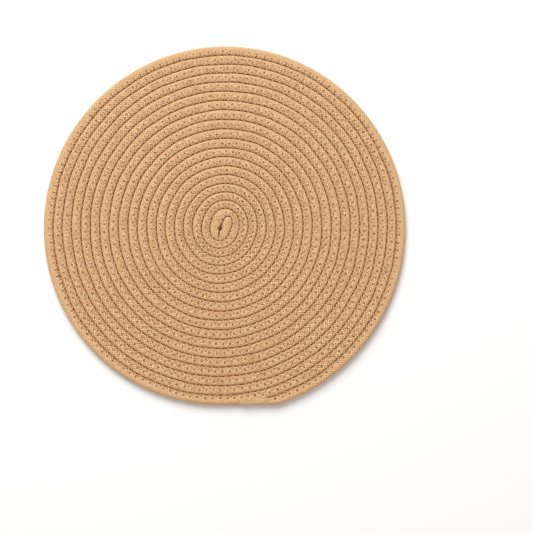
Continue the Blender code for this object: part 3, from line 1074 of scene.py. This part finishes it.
class PLACEMAT_OT_sew_coil(bpy.types.Operator):
    """Sew the turns together with a zigzag thread, on the upper side and underneath"""

    bl_idname = "placemat.sew_coil"
    bl_label = "Sew the coil"

    def execute(self, context):
        """The needle holes lie by turns outside and inside the groove, one each half stitch, and the thread
        runs from each to the next. The tacking over the tail does the same in shorter stitches."""
        rope, sewing = context.scene.placemat_rope, context.scene.placemat_sewing
        line, turns, turn_lengths = groove_line(rope.width)
        tack_start, tack_end = np.interp(TAIL_TURNS + np.array(TACK_TURNS), turns, turn_lengths)
        # The seam starts where the slit in the crease has closed. Even holes lie outside the groove.
        first = math.ceil(2 * stitch_number(CREASE_MIDDLE + CREASE_REACH, sewing))
        numbers = np.arange(first, int(2 * stitch_number(tack_start, sewing)))
        lengths = length_of(numbers / 2, sewing, line.lengths[-1])
        last_turn = on_last_turn(np.interp(lengths, turn_lengths, turns))
        reach = sewing.reach_outwards + wander(ROW_WANDER, lengths) - LAST_ROW_IN * last_turn
        holes = np.where(numbers % 2 == 0, reach, -sewing.reach_inwards)
        length, side = self.legs(lengths, holes)
        for name, upward in (("thread_upper", 1), ("thread_under", -1)):
            path = self.laid_path(line, length, side, upward, rope, sewing)
            add_piece(context, self.thread_mesh(name, path, sewing, rows=110), sewing_thread(sewing))

        # The tacking goes to the tail's end and back, a quarter stitch aside.
        there = np.arange(tack_start, tack_end, TACK_STITCH / 2)
        lengths = np.concatenate([there, there[::-1] - TACK_STITCH / 4])
        shrunk = 1 - TACK_NARROWS * (lengths - tack_start) / (tack_end - tack_start)
        outside, inside = TACK_REACH[1] * shrunk, -TACK_REACH[0]
        length, side = self.legs(lengths, np.where(np.arange(len(lengths)) % 2 == 0, outside, inside))
        path = np.empty((*side.shape, 3))
        path[..., :2] = at_length(line, length, side) + coil_middle(rope.width)
        path[..., 2] = rope.height + TACK_RISE * sewing.thread - LEG_DROPS
        tack = self.thread_mesh("tail_tacking", path.reshape(-1, 3), sewing, rows=6)
        add_piece(context, tack, sewing_thread(sewing))
        return {"FINISHED"}

    @staticmethod
    def legs(lengths, holes):
        """Lengths and sides at the same shares of the way from each needle hole to the next."""
        length = lengths[:-1, None] * (1 - LEG_SHARES) + lengths[1:, None] * LEG_SHARES
        return length, holes[:-1, None] * (1 - LEG_SHARES) + holes[1:, None] * LEG_SHARES

    @staticmethod
    def laid_path(line, length, side, upward, rope, sewing):
        """The thread's path on the rope: the section's height at each place, bridged at the groove, with the
        thread a little sunk in, let down at the needle holes and kept from going under the mat."""
        half_height, half = rope.height / 2, rope.width / 2
        across = np.minimum(np.abs(1 - np.abs(side) / half), 1 - BRIDGE / half)
        surface = section_height(across, half_height) - pressed(side) * (side > 0)
        path = np.empty((*side.shape, 3))
        path[..., :2] = at_length(line, length, side) + coil_middle(rope.width)
        path[..., 2] = half_height + upward * (surface + THREAD_RISE * sewing.thread - LEG_DROPS)
        if upward < 0:
            path[..., 2] = np.maximum(path[..., 2], sewing.thread / 2)
        return path.reshape(-1, 3)

    @staticmethod
    def thread_mesh(name, path, sewing, rows):
        """A tube along the path: a ring in the plane square to it, with one corner each way."""
        along = np.gradient(path, axis=0)
        along /= np.linalg.norm(along, axis=1, keepdims=True)
        level = np.cross(along, [0.0, 0.0, 1.0])
        level /= np.linalg.norm(level, axis=1, keepdims=True)
        upright = np.cross(level, along)
        angle = (math.pi / 4 + np.arange(THREAD_SIDES) * 2 * math.pi / THREAD_SIDES)[:, None]
        corners = np.cos(angle) * level[:, None, :] + np.sin(angle) * upright[:, None, :]
        mesh = tube_mesh(name, path[:, None, :] + sewing.thread / 2 * corners)
        so_far = lengths_along(path)[:, None] / MM
        share = np.arange(THREAD_SIDES + 1) / THREAD_SIDES
        tube_map(mesh, "thread", len(path), THREAD_SIDES, so_far[:-1], so_far[1:], share[:-1], share[1:])
        strips_map(mesh, len(path), THREAD_SIDES, share, rows=rows)
        return mesh


class PLACEMAT_OT_set_stage(bpy.types.Operator):
    """Lay the floor, hang the lights and place the camera"""

    bl_idname = "placemat.set_stage"
    bl_label = "Set the stage"

    def execute(self, context):
        """A square floor, an even white sky, lamps that face the frame's origin, and a camera that looks
        down at the mat from the near side."""
        scene, stage = context.scene, context.scene.placemat_stage
        half = stage.floor / 2
        board = bpy.data.meshes.new("floor")
        corners = ((-half, -half), (half, -half), (half, half), (-half, half))
        board.from_pydata([(x, y, -FLOOR_DROP) for x, y in corners], [], [(0, 1, 2, 3)])
        board.materials.append(matt_board(stage.floor_colour))
        floor = bpy.data.objects.new("floor", board)
        scene.collection.objects.link(floor)

        world = bpy.data.worlds.new("studio")
        world.use_nodes = True
        sky = world.node_tree.nodes["Background"].inputs
        sky["Color"].default_value = linear("FFFFFF")
        sky["Strength"].default_value = SKY_STRENGTH
        scene.world = world
        scene.view_settings.view_transform = "Standard"

        for name, place, size, power, colour in LAMPS:
            lamp = bpy.data.lights.new(name, "AREA")
            lamp.size = size
            lamp.energy = power
            lamp.color = linear(colour)[:3]
            holder = bpy.data.objects.new(name, lamp)
            holder.location = place
            holder.rotation_euler = (-Vector(place)).to_track_quat("-Z", "Y").to_euler()
            scene.collection.objects.link(holder)

        rope = scene.placemat_rope
        aim = Vector((*(coil_middle(rope.width) + AIM), rope.height / 2))
        camera = bpy.data.cameras.new("camera")
        camera.sensor_width = SENSOR
        camera.lens = LENS
        camera.clip_end = CLIP_END
        holder = bpy.data.objects.new("camera", camera)
        back = Vector((0, -math.cos(stage.elevation), math.sin(stage.elevation)))
        holder.location = aim + back * stage.distance
        holder.rotation_euler = (math.pi / 2 - stage.elevation, 0, 0)
        scene.collection.objects.link(holder)
        scene.camera = holder
        return {"FINISHED"}


class PLACEMAT_PT_panel(bpy.types.Panel):
    """The steps that make the placemat, in order"""

    bl_label = "Placemat"
    bl_idname = "PLACEMAT_PT_panel"
    bl_space_type = "VIEW_3D"
    bl_region_type = "UI"
    bl_category = "Placemat"

    def draw(self, context):
        """Shows every setting, and a button for each step."""
        scene = context.scene
        for settings in (scene.placemat_rope, scene.placemat_sewing, scene.placemat_stage):
            box = self.layout.box()
            for name in settings.__annotations__:
                box.prop(settings, name)
        for operator in STEPS:
            self.layout.operator(operator.bl_idname)


STEPS = (PLACEMAT_OT_coil_rope, PLACEMAT_OT_sew_coil, PLACEMAT_OT_set_stage)
SETTINGS = {
    "placemat_rope": RopeSettings,
    "placemat_sewing": SewingSettings,
    "placemat_stage": StageSettings,
}
CLASSES = (*SETTINGS.values(), *STEPS, PLACEMAT_PT_panel)


def register():
    """Makes the classes known, and gives every scene its settings."""
    for cls in CLASSES:
        bpy.utils.register_class(cls)
    for name, cls in SETTINGS.items():
        setattr(bpy.types.Scene, name, PointerProperty(type=cls))


def unregister():
    """Takes the settings and the classes away again."""
    for name in SETTINGS:
        delattr(bpy.types.Scene, name)
    for cls in reversed(CLASSES):
        bpy.utils.unregister_class(cls)


def main():
    """Runs every step."""
    register()
    bpy.ops.placemat.coil_rope()
    bpy.ops.placemat.sew_coil()
    bpy.ops.placemat.set_stage()


if __name__ == "__main__":
    main()
